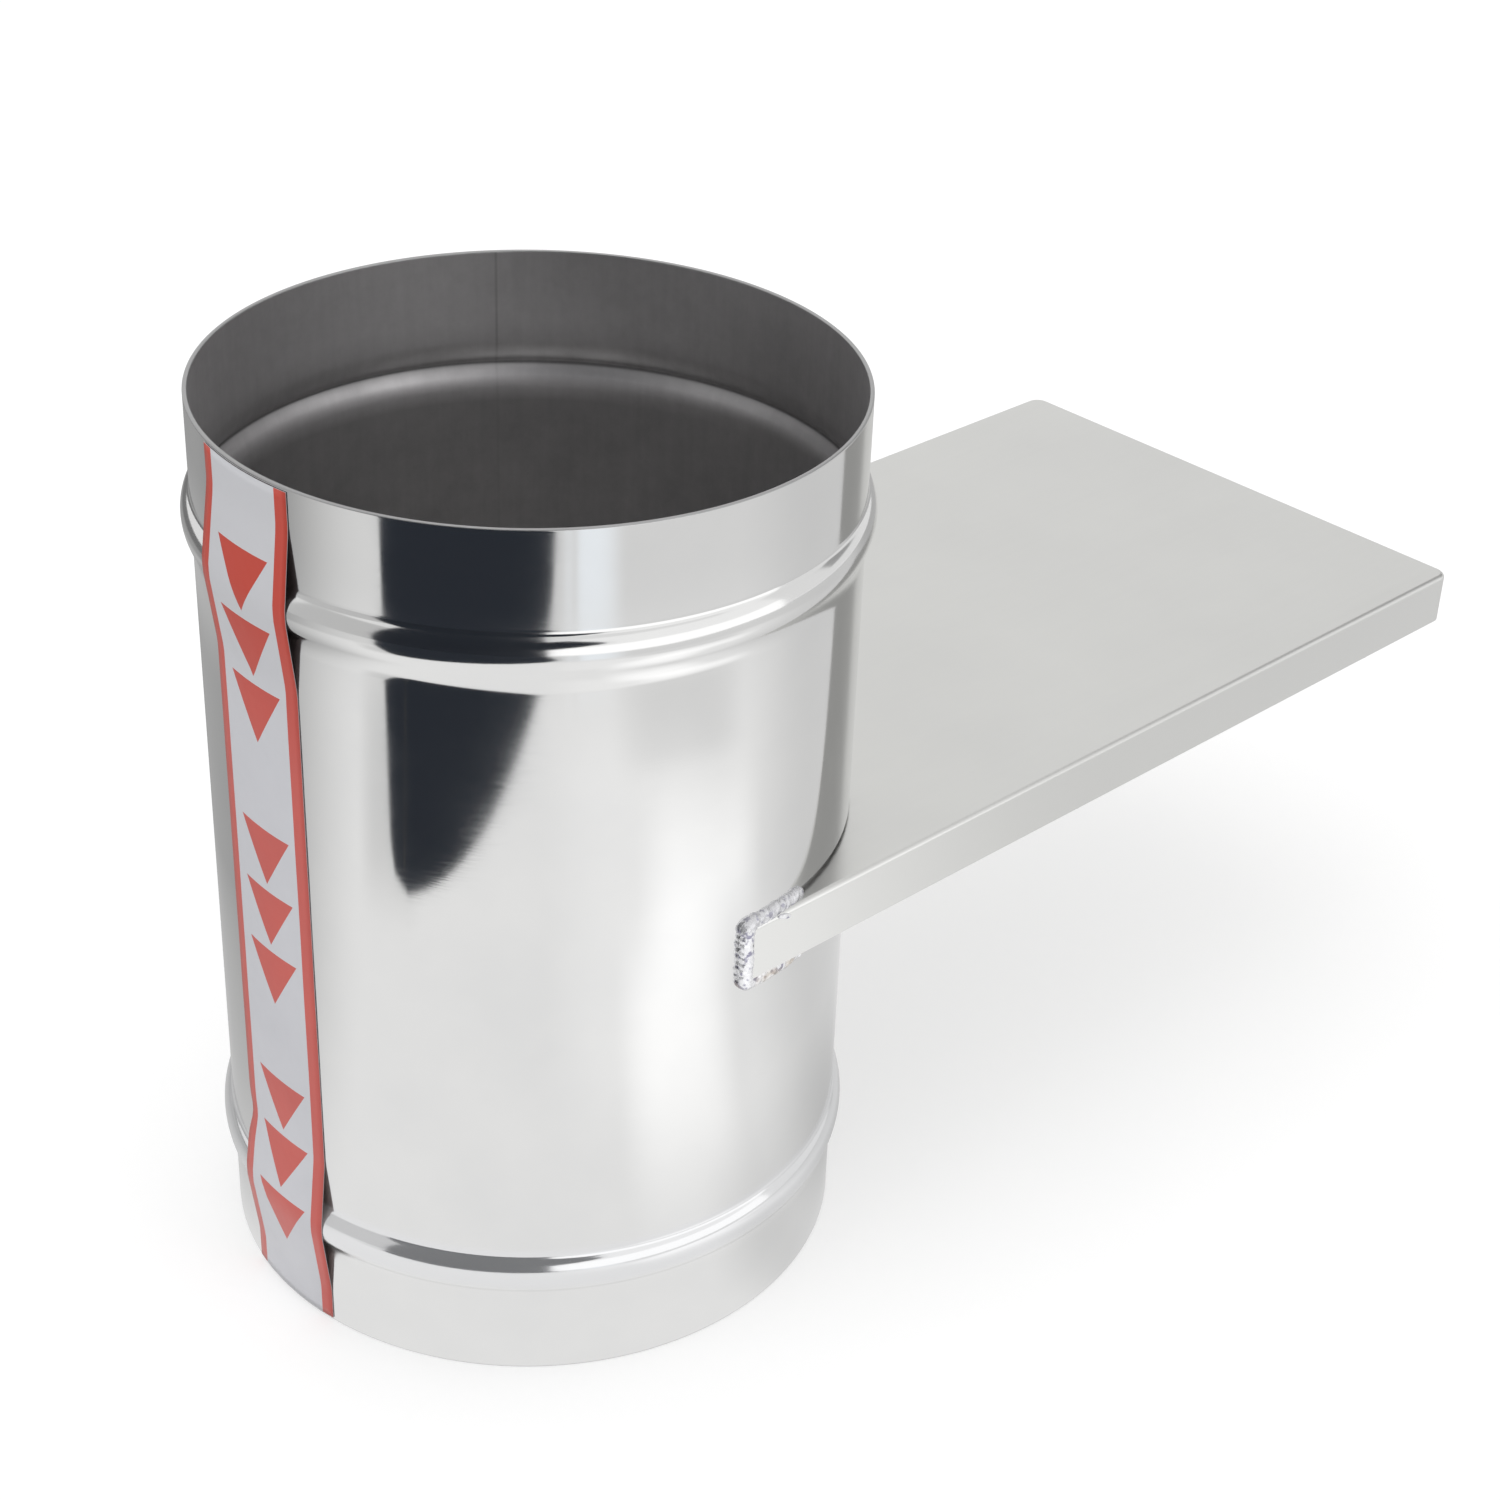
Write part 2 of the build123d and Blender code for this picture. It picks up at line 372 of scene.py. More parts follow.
def inner_steel():
    """Dull inside of the pipe, dark grey with faint streaks and the rolled sheet's seam, with painted light
    on the neck and painted shade in the groove's crease.
    """
    material, tree, shader = new_material("dull_inner_steel")
    place, x, y, z = position_node(tree)
    around = around_node(tree, x, y)
    streaks = noise_node(tree, unrolled_node(tree, around, z, up=0.06), scale=380.0, detail=5.0)
    cloud = noise_node(tree, place, scale=48.0, detail=6.0, rough=0.7)
    streak_share = 0.22
    blend = chain_node(tree, "ADD", math_node(tree, "MULTIPLY", streaks, streak_share),
                       math_node(tree, "MULTIPLY", cloud, 1.0 - streak_share))
    blend_low, blend_high = 0.36, 0.66
    share = range_node(tree, blend, blend_low, blend_high)
    deep = mix_node(tree, share, INNER_DEEP, INNER_DEEP_PALE)
    # Lighter copy of the inner colour, used as painted light on the neck
    painted_light = mix_node(tree, share, INNER_PAINTED_LIGHT, INNER_PAINTED_LIGHT_PALE)
    from_seam = math_node(tree, "SUBTRACT", around, SEAM_PLACE * MM)
    off_seam = math_node(tree, "ABSOLUTE", from_seam)
    over_groove = math_node(tree, "MAXIMUM", range_node(tree, z, *BAND_TOP, to_low=1.0, to_high=0.0),
                            range_node(tree, z, *NECK_BOTTOM, to_low=0.3, to_high=1.0))
    # Painted light: lighter from below the groove up to the rim, fading near the rim, weaker just over the
    # groove and only on a stretch round the seam
    painted_light_place = chain_node(
        tree, "MULTIPLY",
        range_node(tree, z, *PAINTED_LIGHT_BOTTOM),
        range_node(tree, z, *PAINTED_LIGHT_FADE, to_low=1.0, to_high=0.3),
        range_node(tree, from_seam, *PAINTED_LIGHT_LEFT, to_low=1.0, to_high=0.75, smooth=True),
        range_node(tree, from_seam, *PAINTED_LIGHT_LEFT_END, to_low=1.0, to_high=0.0),
        range_node(tree, from_seam, *PAINTED_LIGHT_RIGHT),
        over_groove,
    )
    # Painted shade: a dark line in the groove's crease that fades out below it
    crease = chain_node(tree, "MULTIPLY", range_node(tree, z, *CREASE_SHADE_BOTTOM, to_low=0.0, to_high=0.6),
                        range_node(tree, z, *CREASE_SHADE_TOP, to_low=1.0, to_high=0.0))
    sheet = mix_node(tree, crease, mix_node(tree, painted_light_place, deep, painted_light), INNER_CREASE_SHADE)
    seam = chain_node(tree, "MULTIPLY", range_node(tree, off_seam, *SEAM_EDGE, to_low=0.3, to_high=0.0),
                      range_node(tree, z, *SEAM_FADE, to_low=0.25, to_high=1.0))
    put(shader.inputs["Base Color"], mix_node(tree, seam, sheet, INNER_SEAM))
    shader.inputs["Metallic"].default_value = 0.9
    put(shader.inputs["Roughness"], range_node(tree, blend, blend_low, blend_high, to_low=0.48, to_high=0.40))
    put(shader.inputs["Normal"], bump_node(tree, streaks, distance=0.00002))
    return material


def satin_steel(name, colour, darker, rough):
    """Rolled sheet with a soft sheen, faint blotches, a fine grain along the case, and side walls painted
    brighter as a painted reflection.
    """
    material, tree, shader = new_material(name)
    place, x, y, z = position_node(tree)
    drawn_out = vector_node(tree, math_node(tree, "MULTIPLY", x, 0.02), y, z)
    grain = noise_node(tree, drawn_out, scale=900.0, detail=2.0)
    cloud = noise_node(tree, place, scale=18.0, detail=4.0)
    shader.inputs["Metallic"].default_value = 1.0
    sheet = mix_node(tree, range_node(tree, cloud, low=0.3, high=0.7), colour, darker)
    side_wall = range_node(tree, math_node(tree, "ABSOLUTE", y), *SIDE_WALL)
    # Painted reflection: the side walls are painted brighter, most near the pipe and towards the far end
    painted_sheen = math_node(tree, "MAXIMUM", range_node(tree, x, *PAINTED_SHEEN_NEAR, to_low=1.0, to_high=0.4),
                       range_node(tree, x, *PAINTED_SHEEN_FAR, to_low=0.4, to_high=0.9))
    painted_sheen = math_node(tree, "MULTIPLY", painted_sheen, side_wall)
    put(shader.inputs["Base Color"], mix_node(tree, painted_sheen, sheet, SATIN_PAINTED_SHEEN))
    spread = 0.025
    put(shader.inputs["Roughness"],
        range_node(tree, grain, low=0.3, high=0.7, to_low=rough - spread, to_high=rough + spread))
    slow = bump_node(tree, cloud, distance=0.0004, strength=0.5)
    put(shader.inputs["Normal"], bump_node(tree, grain, distance=0.000004, strength=0.3, normal=slow))
    return material


def weld_metal():
    """Bright grainy weld with dark specks, a duller top and a faint straw heat tint below."""
    material, tree, shader = new_material("weld_metal")
    place, _, _, z = position_node(tree)
    grit = noise_node(tree, place, scale=900.0, detail=2.5)
    patch = noise_node(tree, place, scale=320.0, detail=2.0)
    speck = noise_node(tree, place, scale=640.0, detail=1.5)
    cool = mix_node(tree, range_node(tree, speck, low=0.54, high=0.64), WELD_BRIGHT, WELD_SPECK)
    top = mix_node(tree, range_node(tree, z, *WELD_TOP_BAND, to_low=0.0, to_high=0.5), cool, WELD_TOP)
    straw = chain_node(tree, "MULTIPLY", range_node(tree, z, *WELD_STRAW_BAND, to_low=0.7, to_high=0.0),
                       range_node(tree, patch, low=0.4, high=0.6))
    put(shader.inputs["Base Color"], mix_node(tree, straw, top, WELD_STRAW))
    shader.inputs["Metallic"].default_value = 0.6
    put(shader.inputs["Roughness"], range_node(tree, grit, low=0.3, high=0.7, to_low=0.16, to_high=0.36))
    put(shader.inputs["Normal"], bump_node(tree, grit, distance=0.00024, strength=0.8))
    return material


def film(name, colour, darker, high_colour):
    """Thin printed film, slightly glossy and a little uneven, with a colour of its own near the top: painted
    shade on the back, and on the red print a deeper red that stands in for less sheen.
    """
    material, tree, shader = new_material(name)
    place, _, _, z = position_node(tree)
    cloud = noise_node(tree, place, scale=60.0, detail=3.0)
    crinkle = noise_node(tree, place, scale=120.0, detail=2.0)
    lower = mix_node(tree, range_node(tree, cloud, low=0.3, high=0.75), colour, darker)
    # Near the top the back gets painted shade, and the red print a deeper red that stands in for less sheen
    put(shader.inputs["Base Color"], mix_node(tree, range_node(tree, z, *FILM_HIGH_BAND), lower, high_colour))
    put(shader.inputs["Roughness"], range_node(tree, cloud, low=0.3, high=0.7, to_low=0.32, to_high=0.45))
    put(shader.inputs["Normal"], bump_node(tree, crinkle, distance=0.0004, strength=0.5))
    return material


# Pipe

def half_bead(wall, arcs, steps, middle_height, side):
    """Half of a bead's section from its crest to past its root, as two arcs that meet smoothly."""
    crest, root = arcs
    reach = crest + root
    half = math.sqrt(2 * BEAD_HEIGHT * reach - BEAD_HEIGHT**2)
    tilt = math.atan2(half, reach - BEAD_HEIGHT)
    points = arc_points((wall + BEAD_HEIGHT - crest, 0.0), crest, 0.0, tilt, steps[0])
    points += arc_points((wall + root, half), root, math.pi + tilt, math.pi, steps[1])[1:]
    points.append((wall, half + ROW_GAP))
    return [(radius, middle_height + side * height) for radius, height in points]


def bead_points(inset, arcs, steps, middle_height):
    """Section of one bead from below its lower root to above its upper root."""
    wall = PIPE_RADIUS - inset
    lower = half_bead(wall, arcs[0], steps, middle_height, -1.0)
    upper = half_bead(wall, arcs[1], steps, middle_height, 1.0)
    return lower[::-1] + upper[1:]


def wall_points(inset, arcs, steps, drop):
    """Section of one face of the wall from rim to rim, with rows that keep the plain parts flat."""
    wall = PIPE_RADIUS - inset
    slot_rows = [(wall, CASE_LOW - SLOT_GAP), (wall, CASE_HIGH + SLOT_GAP)]
    points = [(wall, RIM_ROUND), (wall, RIM_ROUND + ROW_GAP)]
    points += bead_points(inset, arcs, steps, BEAD_OFFSET - drop)
    points += slot_rows
    points += bead_points(inset, arcs, steps, PIPE_HEIGHT - BEAD_OFFSET - drop)
    points += [(wall, PIPE_HEIGHT - RIM_ROUND - ROW_GAP), (wall, PIPE_HEIGHT - RIM_ROUND)]
    return points


def rim_points(height, turn):
    """Rounded edge of the sheet at one rim, from the outside to the inside."""
    middle = PIPE_RADIUS - PIPE_WALL / 2
    edge = PIPE_WALL / 2
    points = []
    for step in range(1, RIM_STEPS):
        angle = math.pi * step / RIM_STEPS
        points.append((middle + edge * math.cos(angle), height + turn * RIM_ROUND * math.sin(angle)))
    return points


def pipe_mesh():
    """Beaded pipe with its half-round slot: outside, inside and cut edges as separate materials."""
    outside = wall_points(0.0, BEAD_ARCS, BEAD_STEPS, 0.0)
    inside = wall_points(PIPE_WALL, GROOVE_ARCS, GROOVE_STEPS, GROOVE_DROP)[::-1]
    top_rim = rim_points(PIPE_HEIGHT - RIM_ROUND, 1.0)
    low_rim = rim_points(RIM_ROUND, -1.0)
    loop = outside + top_rim + inside + low_rim[::-1]
    rows = len(loop)
    inner_start = len(outside) + len(top_rim)
    slot_low = outside.index((PIPE_RADIUS, CASE_LOW - SLOT_GAP))
    slot_inner = inner_start + inside.index((PIPE_RADIUS - PIPE_WALL, CASE_LOW - SLOT_GAP))
    slot_columns = (PIPE_COLUMNS // 4, PIPE_COLUMNS * 3 // 4)
    mesh = bmesh.new()
    grid = []
    for column in range(PIPE_COLUMNS):
        angle = math.radians(360 * column / PIPE_COLUMNS)
        grid.append([mesh.verts.new(polar(r, angle, z)) for r, z in loop])
    for column in range(PIPE_COLUMNS):
        here = grid[column]
        there = grid[(column + 1) % PIPE_COLUMNS]
        in_slot = column < slot_columns[0] or column >= slot_columns[1]
        for row in range(rows):
            following = (row + 1) % rows
            if in_slot and row in (slot_low, slot_inner - 1):
                continue
            face = mesh.faces.new((here[row], there[row], there[following], here[following]))
            face.smooth = True
            if row < len(outside) - 1:
                face.material_index = 0
            elif inner_start <= row < inner_start + len(inside) - 1:
                face.material_index = 1
            else:
                face.material_index = 2
        if in_slot:
            low = (here[slot_low], here[slot_inner], there[slot_inner], there[slot_low])
            high = (there[slot_low + 1], there[slot_inner - 1], here[slot_inner - 1], here[slot_low + 1])
            mesh.faces.new(low)
            mesh.faces.new(high)
    for column in slot_columns:
        line = grid[column]
        mesh.faces.new((line[slot_low], line[slot_inner], line[slot_inner - 1], line[slot_low + 1]))
    return finished_mesh(mesh, "flue_pipe_skin", SHARP_EDGE)


# Printed film

def film_radius(height):
    """Radius of the film's back, which runs straight from the wall to each bead's crest."""
    wall = PIPE_RADIUS + FILM_GAP
    crest = PIPE_RADIUS + BEAD_HEIGHT + FILM_GAP
    lift = 0.0
    for middle in (BEAD_OFFSET, PIPE_HEIGHT - BEAD_OFFSET):
        away = abs(height - middle)
        if away < FILM_TENT:
            share = 1.0 - max(0.0, away - FILM_CREST_FLAT) / (FILM_TENT - FILM_CREST_FLAT)
            lift = max(lift, share)
    return wall + (crest - wall) * lift


def film_point(u, v, offset):
    """Place on the film from its distance across and its height, with faint waves and one crease."""
    lift = film_radius(v)
    spot = Vector((u * FILM_WAVE_ACROSS, v * FILM_WAVE_UP, FILM_WAVE_START))
    wave = (noise.noise(spot) - 1.0) * FILM_WAVE
    crease = math.exp(-(((v - FILM_CREASE) / FILM_CREASE_REACH) ** 2)) * max(0.0, u / FILM_LEFT) ** 3
    across = u - FILM_SHIFT - FILM_LEAN * v + FILM_CREASE_SHIFT * crease
    return polar(lift + offset + wave, math.pi + across / PIPE_RADIUS, v)


def in_arrow(u, v):
    """Whether a point lies on one of the printed arrows, which point down."""
    for top in ARROW_TOPS:
        depth = (top - v) / ARROW_HEIGHT
        if 0.0 < depth < 1.0 and abs(u) < ARROW_HALF * (1.0 - depth):
            return True
    return False


def film_mesh():
    """Film with its print as faces of their own, front, back and edges."""
    low = FILM_RIM_GAP
    high = PIPE_HEIGHT - FILM_RIM_GAP
    points = []
    edges = []

    def add_line(a, b, count):
        first = len(points)
        for step in range(count + 1):
            share = step / count
            points.append(Vector((a[0] + (b[0] - a[0]) * share, a[1] + (b[1] - a[1]) * share)))
        edges.extend((first + step, first + step + 1) for step in range(count))

    line_left = FILM_LEFT + LINE_WIDTH
    line_right = FILM_RIGHT - LINE_WIDTH
    for u in (FILM_LEFT, line_left, line_right, FILM_RIGHT):
        add_line((u, low), (u, high), FILM_ROWS)
    for v in (low, high):
        add_line((FILM_LEFT, v), (FILM_RIGHT, v), FILM_COLUMNS)
    for top in ARROW_TOPS:
        left = (-ARROW_HALF, top)
        right = (ARROW_HALF, top)
        tip = (0.0, top - ARROW_HEIGHT)
        for start, end in ((left, right), (right, tip), (tip, left)):
            add_line(start, end, ARROW_STEPS)
    for row in range(1, FILM_ROWS):
        v = low + (high - low) * row / FILM_ROWS
        for column in range(1, FILM_COLUMNS):
            u = FILM_LEFT + (FILM_RIGHT - FILM_LEFT) * column / FILM_COLUMNS
            if min(abs(u - line_left), abs(u - line_right)) > LINE_CLEAR:
                points.append(Vector((u, v)))
    flat, _, faces, _, _, _ = delaunay_2d_cdt(points, edges, [], 0, MERGE_GAP)
    mesh = bmesh.new()
    fronts = [mesh.verts.new(film_point(p.x, p.y, FILM_THICKNESS)) for p in flat]
    backs = [mesh.verts.new(film_point(p.x, p.y, 0.0)) for p in flat]
    for corners in faces:
        middle = sum((flat[i] for i in corners), Vector((0.0, 0.0))) / len(corners)
        red = not line_left < middle.x < line_right or in_arrow(middle.x, middle.y)
        front = mesh.faces.new([fronts[i] for i in corners])
        front.material_index = 1 if red else 0
        front.smooth = True
        back = mesh.faces.new([backs[i] for i in reversed(corners)])
        back.material_index = 2
        back.smooth = True
    twin = dict(zip(fronts, backs))
    for edge in [e for e in mesh.edges if e.is_boundary and e.verts[0] in twin]:
        a, b = edge.verts
        mesh.faces.new((a, b, twin[b], twin[a]))
    return finished_mesh(mesh, "arrow_film_skin")


# Corner welds

def weld_path(side):
    """Centre line of one corner weld: along the case's top, down its corner and back along its floor."""
    top = CASE_HIGH + WELD_OVER_CASE
    low = CASE_LOW - WELD_UNDER_CASE
    path = []
    for step in range(WELD_STEPS, 0, -1):
        angle = math.asin(WELD_TOP_RUN / PIPE_RADIUS) * step / WELD_STEPS
        path.append((PIPE_RADIUS * math.sin(angle), -PIPE_RADIUS * math.cos(angle), top))
    for step in range(WELD_STEPS + 1):
        path.append((-WELD_BEHIND, -CASE_HALF + WELD_INSET, top + (low - top) * step / WELD_STEPS))
    for step in range(1, WELD_STEPS + 1):
        angle = math.asin(WELD_LOW_RUN / PIPE_RADIUS) * step / WELD_STEPS
        path.append((PIPE_RADIUS * math.sin(angle), -PIPE_RADIUS * math.cos(angle), low))
    smooth = [Vector(point) for point in path]
    for _ in range(WELD_SMOOTHING):
        inner = [(a + b * 2 + c) / 4 for a, b, c in zip(smooth, smooth[1:], smooth[2:])]
        smooth = [smooth[0], *inner, smooth[-1]]
    return [Vector((p.x, p.y * -side, p.z)) for p in smooth]


def unevenness(turned, travelled, shape):
    """Change of the weld's radius at a turn round the bead and a distance along it."""
    height, around, along, start = shape
    return height * noise.noise(turned * around + Vector((travelled * along, *start)))


def weld_ring(mesh, path, index, travelled, side):
    """One ring of a weld's skin, square to its path."""
    centre = path[index]
    before = path[max(0, index - 1)]
    after = path[min(len(path) - 1, index + 1)]
    along = (after - before).normalized()
    out = Vector((centre.x * WELD_LEAN, centre.y, 0.0)).normalized()
    out = (out - along * out.dot(along)).normalized()
    across = along.cross(out)
    from_end = min(index, len(path) - 1 - index)
    taper = min(1.0, math.sqrt((from_end + WELD_END_SIZE) / WELD_TAPER))
    ring = []
    for step in range(WELD_AROUND):
        angle = 2 * math.pi * step / WELD_AROUND
        turned = Vector((math.cos(angle), math.sin(angle), side))
        lump = unevenness(turned, travelled, WELD_LUMPS)
        grain = unevenness(turned, travelled, WELD_GRAIN)
        phase = travelled / WELD_RIPPLE_PITCH + WELD_RIPPLE_SWEEP * math.cos(angle)
        ripple = WELD_RIPPLE * math.sin(2 * math.pi * phase)
        radius = WELD_RADIUS * taper * (WELD_MEAN + lump + grain + ripple)
        offset = out * (math.sin(angle) * radius * WELD_FLATNESS) + across * (math.cos(angle) * radius)
        ring.append(mesh.verts.new((centre + offset) * MM))
    return ring


def weld_mesh():
    """Both corner welds as lumpy beads with round ends, and one drop of spatter."""
    mesh = bmesh.new()
    for side in (-1.0, 1.0):
        path = weld_path(side)
        travelled = 0.0
        rings = []
        for index, centre in enumerate(path):
            travelled += (centre - path[max(0, index - 1)]).length
            rings.append(weld_ring(mesh, path, index, travelled, side))
        for first, second in zip(rings, rings[1:]):
            for step in range(WELD_AROUND):
                following = (step + 1) % WELD_AROUND
                face = mesh.faces.new((first[step], first[following], second[following], second[step]))
                face.smooth = True
        mesh.faces.new(rings[0])
        mesh.faces.new(rings[-1])
    spatter = Matrix.Translation(Vector(SPATTER_PLACE) * MM) @ Matrix.Rotation(SPATTER_TURN, 4, "Y")
    spatter = spatter @ Matrix.Diagonal((*(size * MM for size in SPATTER_SIZE), 1.0))
    for vertex in bmesh.ops.create_icosphere(mesh, subdivisions=3, radius=1.0, matrix=spatter)["verts"]:
        for face in vertex.link_faces:
            face.smooth = True
    return finished_mesh(mesh, "corner_weld_skin")


# Dress the frame

polished = polished_steel()
satin = satin_steel("satin_steel", SATIN, SATIN_DARKER, rough=0.30)
blade_steel = satin_steel("blade_steel", BLADE, BLADE_DARKER, rough=0.34)
weld = weld_metal()
cut_edge = satin_steel("cut_edge", CUT_EDGE, CUT_EDGE_DARKER, rough=0.38)
film_grey = film("film_grey", *FILM_GREY)
film_red = film("film_red", *FILM_RED)
# The film's back, painted dark near the top as shade
film_back_shade = film("film_back_shade", *FILM_BACK_PAINTED_SHADE)

add_piece("pipe_skin", pipe_mesh(), "polished_steel", [polished, inner_steel(), cut_edge], "flue_pipe")
add_piece("film_skin", film_mesh(), "printed_film", [film_grey, film_red, film_back_shade], "arrow_film")
add_piece("weld_skin", weld_mesh(), "weld_metal", [weld], "corner_welds")

for node, material in (
    ("gate_case", satin),
    ("case_floor", satin),
    ("guide_rail_near", satin),
    ("guide_rail_far", satin),
    ("slide_blade", blade_steel),
    ("seam_tacks", weld),
):
    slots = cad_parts[node].data.materials
    slots.clear()
    slots.append(material)


# Stage: a floor that takes the shadow, and cards that only reflections show

# The camera's side, as a turn of the row frame
VIEW_TURN = math.radians(-39.5)

# Soft patches of the lit floor: a heading round the pipe with the two angles from it between which the patch
# fades, in degrees; the reach over which it rises and falls, in metres; and its strength
FLOOR_GLOWS = (
    ((-86.0, 4.0, 21.0), ((0.09, 0.18), (0.21, 0.27)), 0.23),
    ((-76.0, 4.0, 24.0), ((0.20, 0.26), (0.255, 0.345)), 0.25),
    ((-98.0, 2.0, 30.0), ((0.13, 0.20), (0.33, 0.38)), 0.08),
    ((104.0, 6.0, 32.0), ((0.10, 0.18), (0.60, 0.75)), 0.06),
    ((72.0, 25.0, 55.0), ((0.31, 0.37), (0.60, 0.75)), 0.12),
)
FLOOR_SHADES = (
    ((-45.0, 22.0, 45.0), ((0.0, 0.01), (0.085, 0.15)), 0.20),
    ((-83.0, 5.0, 24.0), ((0.325, 0.345), (0.38, 0.41)), 0.14),
    ((-174.0, 2.0, 11.0), ((0.235, 0.29), (0.36, 0.42)), 0.20),
)
FAR_FLOOR = (0.36, 0.47)
LEFT_SHADE = (100.0, 12.0, 80.0)
LEFT_SHADE_REACH = (0.10, 0.20)
RIGHT_SHADE = (0.0, 25.0, 63.0)
CORNER_SHADE = (14.0, 10.0, 28.0)
STREAK_EDGE = (-95.0, 20.0, 22.0)
STREAK_FADE = (-114.0, 2.0, 13.0)
STREAK_LINE = (-118.8, 0.5, 1.6)

# Floor in metres, and cards in millimetres across, away from and above the camera's side
FLOOR_HALF = 4.0
FLOOR_GLOW = 0.42
LIT_RADIUS = 2500
LIT_STEPS = 48
LIT_HEIGHT = 0.3
DARK_HEIGHT = 0.8
GLINT_HEIGHT = 1.2
DARK_PATCH = [
    (-184, -202), (-162, -208), (22, -398), (50, -458), (66, -530),
    (100, -1300), (-1250, -1150), (-363, -340), (-202, -210),
]
DARK_GLINT = [(-176, -213), (-173, -214), (-240, -300), (-243, -299)]
DARK_RIGHT = (100, -1300)
DARK_LEFT = (-1010, -900)
DARK_WALL_TOP = 1850
DARK_TAIL = [(95, -1290, 450), (440, -1085, 640), (440, -1085, 760), (250, -1190, 1150), (95, -1290, 1150)]
LIT_PLAN = ((108, -1300), (1300, -600), (1380, -190))
LIT_MIDDLE = 520
LIT_TOP = 1200
DIM_LEFT_END = (-1400, -250)
DIM_LEFT_TOP = 1150
DIM_SIDE_PLAN = ((800, 1150), (1450, 430))
DIM_SIDE_HEIGHTS = (420, 1400)


def stage_material(name, colour, rough):
    """Plain finish for the floor and cards."""
    material, _, shader = new_material(name)
    shader.inputs["Base Color"].default_value = colour
    shader.inputs["Roughness"].default_value = rough
    shader.inputs["Specular IOR Level"].default_value = 0.0
    return material


def flat_shape(name, corners, material):
    """A flat polygon that belongs to the stage."""
    mesh = bpy.data.meshes.new(name)
    mesh.from_pydata(corners, [], [list(range(len(corners)))])
    mesh.materials.append(material)
    shape = bpy.data.objects.new(name, mesh)
    bpy.context.scene.collection.objects.link(shape)
    return shape


def seen_from_front(x, y, z):
    """Point in metres given in millimetres across, away from and above the camera's side."""
    return Matrix.Rotation(VIEW_TURN, 3, "Z") @ (Vector((x, y, z)) * MM)


def emission_material(name, strength=1.0):
    """White glow for a lit card, and its tree and glow node."""
    material = bpy.data.materials.new(name)
    material.use_nodes = True
    tree = material.node_tree
    tree.nodes.clear()
    glow = tree.nodes.new("ShaderNodeEmission")
    glow.inputs["Strength"].default_value = strength
    output = tree.nodes.new("ShaderNodeOutputMaterial")
    tree.links.new(glow.outputs[0], output.inputs["Surface"])
    return material, tree, glow


def direction_mask(tree, x, y, reach, heading, inner, outer):
    """1 towards a heading round the pipe, falling to 0 between two angles from it, in degrees."""
    towards = math_node(tree, "ADD", math_node(tree, "MULTIPLY", x, math.cos(math.radians(heading))),
                        math_node(tree, "MULTIPLY", y, math.sin(math.radians(heading))))
    cosine = math_node(tree, "DIVIDE", towards, reach)
    return range_node(tree, cosine, math.cos(math.radians(outer)), math.cos(math.radians(inner)), smooth=True)


def lit_floor():
    """The studio floor as reflections see it: bright at the front right, dimmer far out and behind."""
    material, tree, glow = emission_material("lit_floor")
    _, x, y, _ = position_node(tree)
    square = math_node(tree, "ADD", math_node(tree, "MULTIPLY", x, x), math_node(tree, "MULTIPLY", y, y))
    reach = math_node(tree, "SQRT", square)
    far = range_node(tree, reach, *FAR_FLOOR, smooth=True)

    def towards(turn):
        return direction_mask(tree, x, y, reach, *turn)

    def patches(shapes):
        return [math_node(tree, "MULTIPLY", band_node(tree, reach, *ring, strength), towards(turn))
                for turn, ring, strength in shapes]

    streak = math_node(tree, "MULTIPLY", towards(STREAK_EDGE), towards(STREAK_FADE))
    streak = math_node(tree, "ADD", streak, range_node(tree, towards(STREAK_LINE), to_high=0.5))
    streak = math_node(tree, "MULTIPLY", streak, far)
    left = math_node(tree, "MULTIPLY", towards(LEFT_SHADE),
                     range_node(tree, reach, *LEFT_SHADE_REACH, to_low=0.40, to_high=0.62))
    right = math_node(tree, "MULTIPLY", towards(RIGHT_SHADE),
                      range_node(tree, far, to_low=0.22, to_high=0.10))
    corner = math_node(tree, "MULTIPLY", towards(CORNER_SHADE), range_node(tree, far, to_high=0.22))
    level = range_node(tree, far, to_low=0.97, to_high=0.82)
    lit = chain_node(tree, "ADD", level, *patches(FLOOR_GLOWS), math_node(tree, "MULTIPLY", streak, 0.30))
    shade = chain_node(tree, "ADD", left, right, corner, *patches(FLOOR_SHADES))
    put(glow.inputs["Strength"], math_node(tree, "SUBTRACT", lit, shade))
    put(glow.inputs["Color"], mix_node(tree, streak, WHITE, STREAK_BLUE))
    return material


def reflection_card(name, corners, material):
    """Card that only reflections show; corners are millimetres across, away and up."""
    card = flat_shape(name, [seen_from_front(*corner) for corner in corners], material)
    card.visible_camera = False
    card.visible_diffuse = False
    card.visible_shadow = False


def on_floor(points, height):
    """Corners of a card that lies on the floor."""
    return [(x, y, height) for x, y in points]


def upright(start, end, low, high):
    """Corners of a card that stands between two points of the floor plan."""
    return [(*start, low), (*end, low), (*end, high), (*start, high)]


def white_floor():
    """Pale floor that takes the shadow and reads as white to the eye and in reflections."""
    material = stage_material("floor_white", FLOOR_GREY, rough=0.9)
    tree = material.node_tree
    shader = tree.nodes["Principled BSDF"]
    path = tree.nodes.new("ShaderNodeLightPath")
    seen = chain_node(tree, "MAXIMUM", path.outputs["Is Camera Ray"], path.outputs["Is Glossy Ray"],
                      path.outputs["Is Transmission Ray"])
    shader.inputs["Emission Color"].default_value = WHITE
    put(shader.inputs["Emission Strength"], math_node(tree, "MULTIPLY", seen, FLOOR_GLOW))
    return material


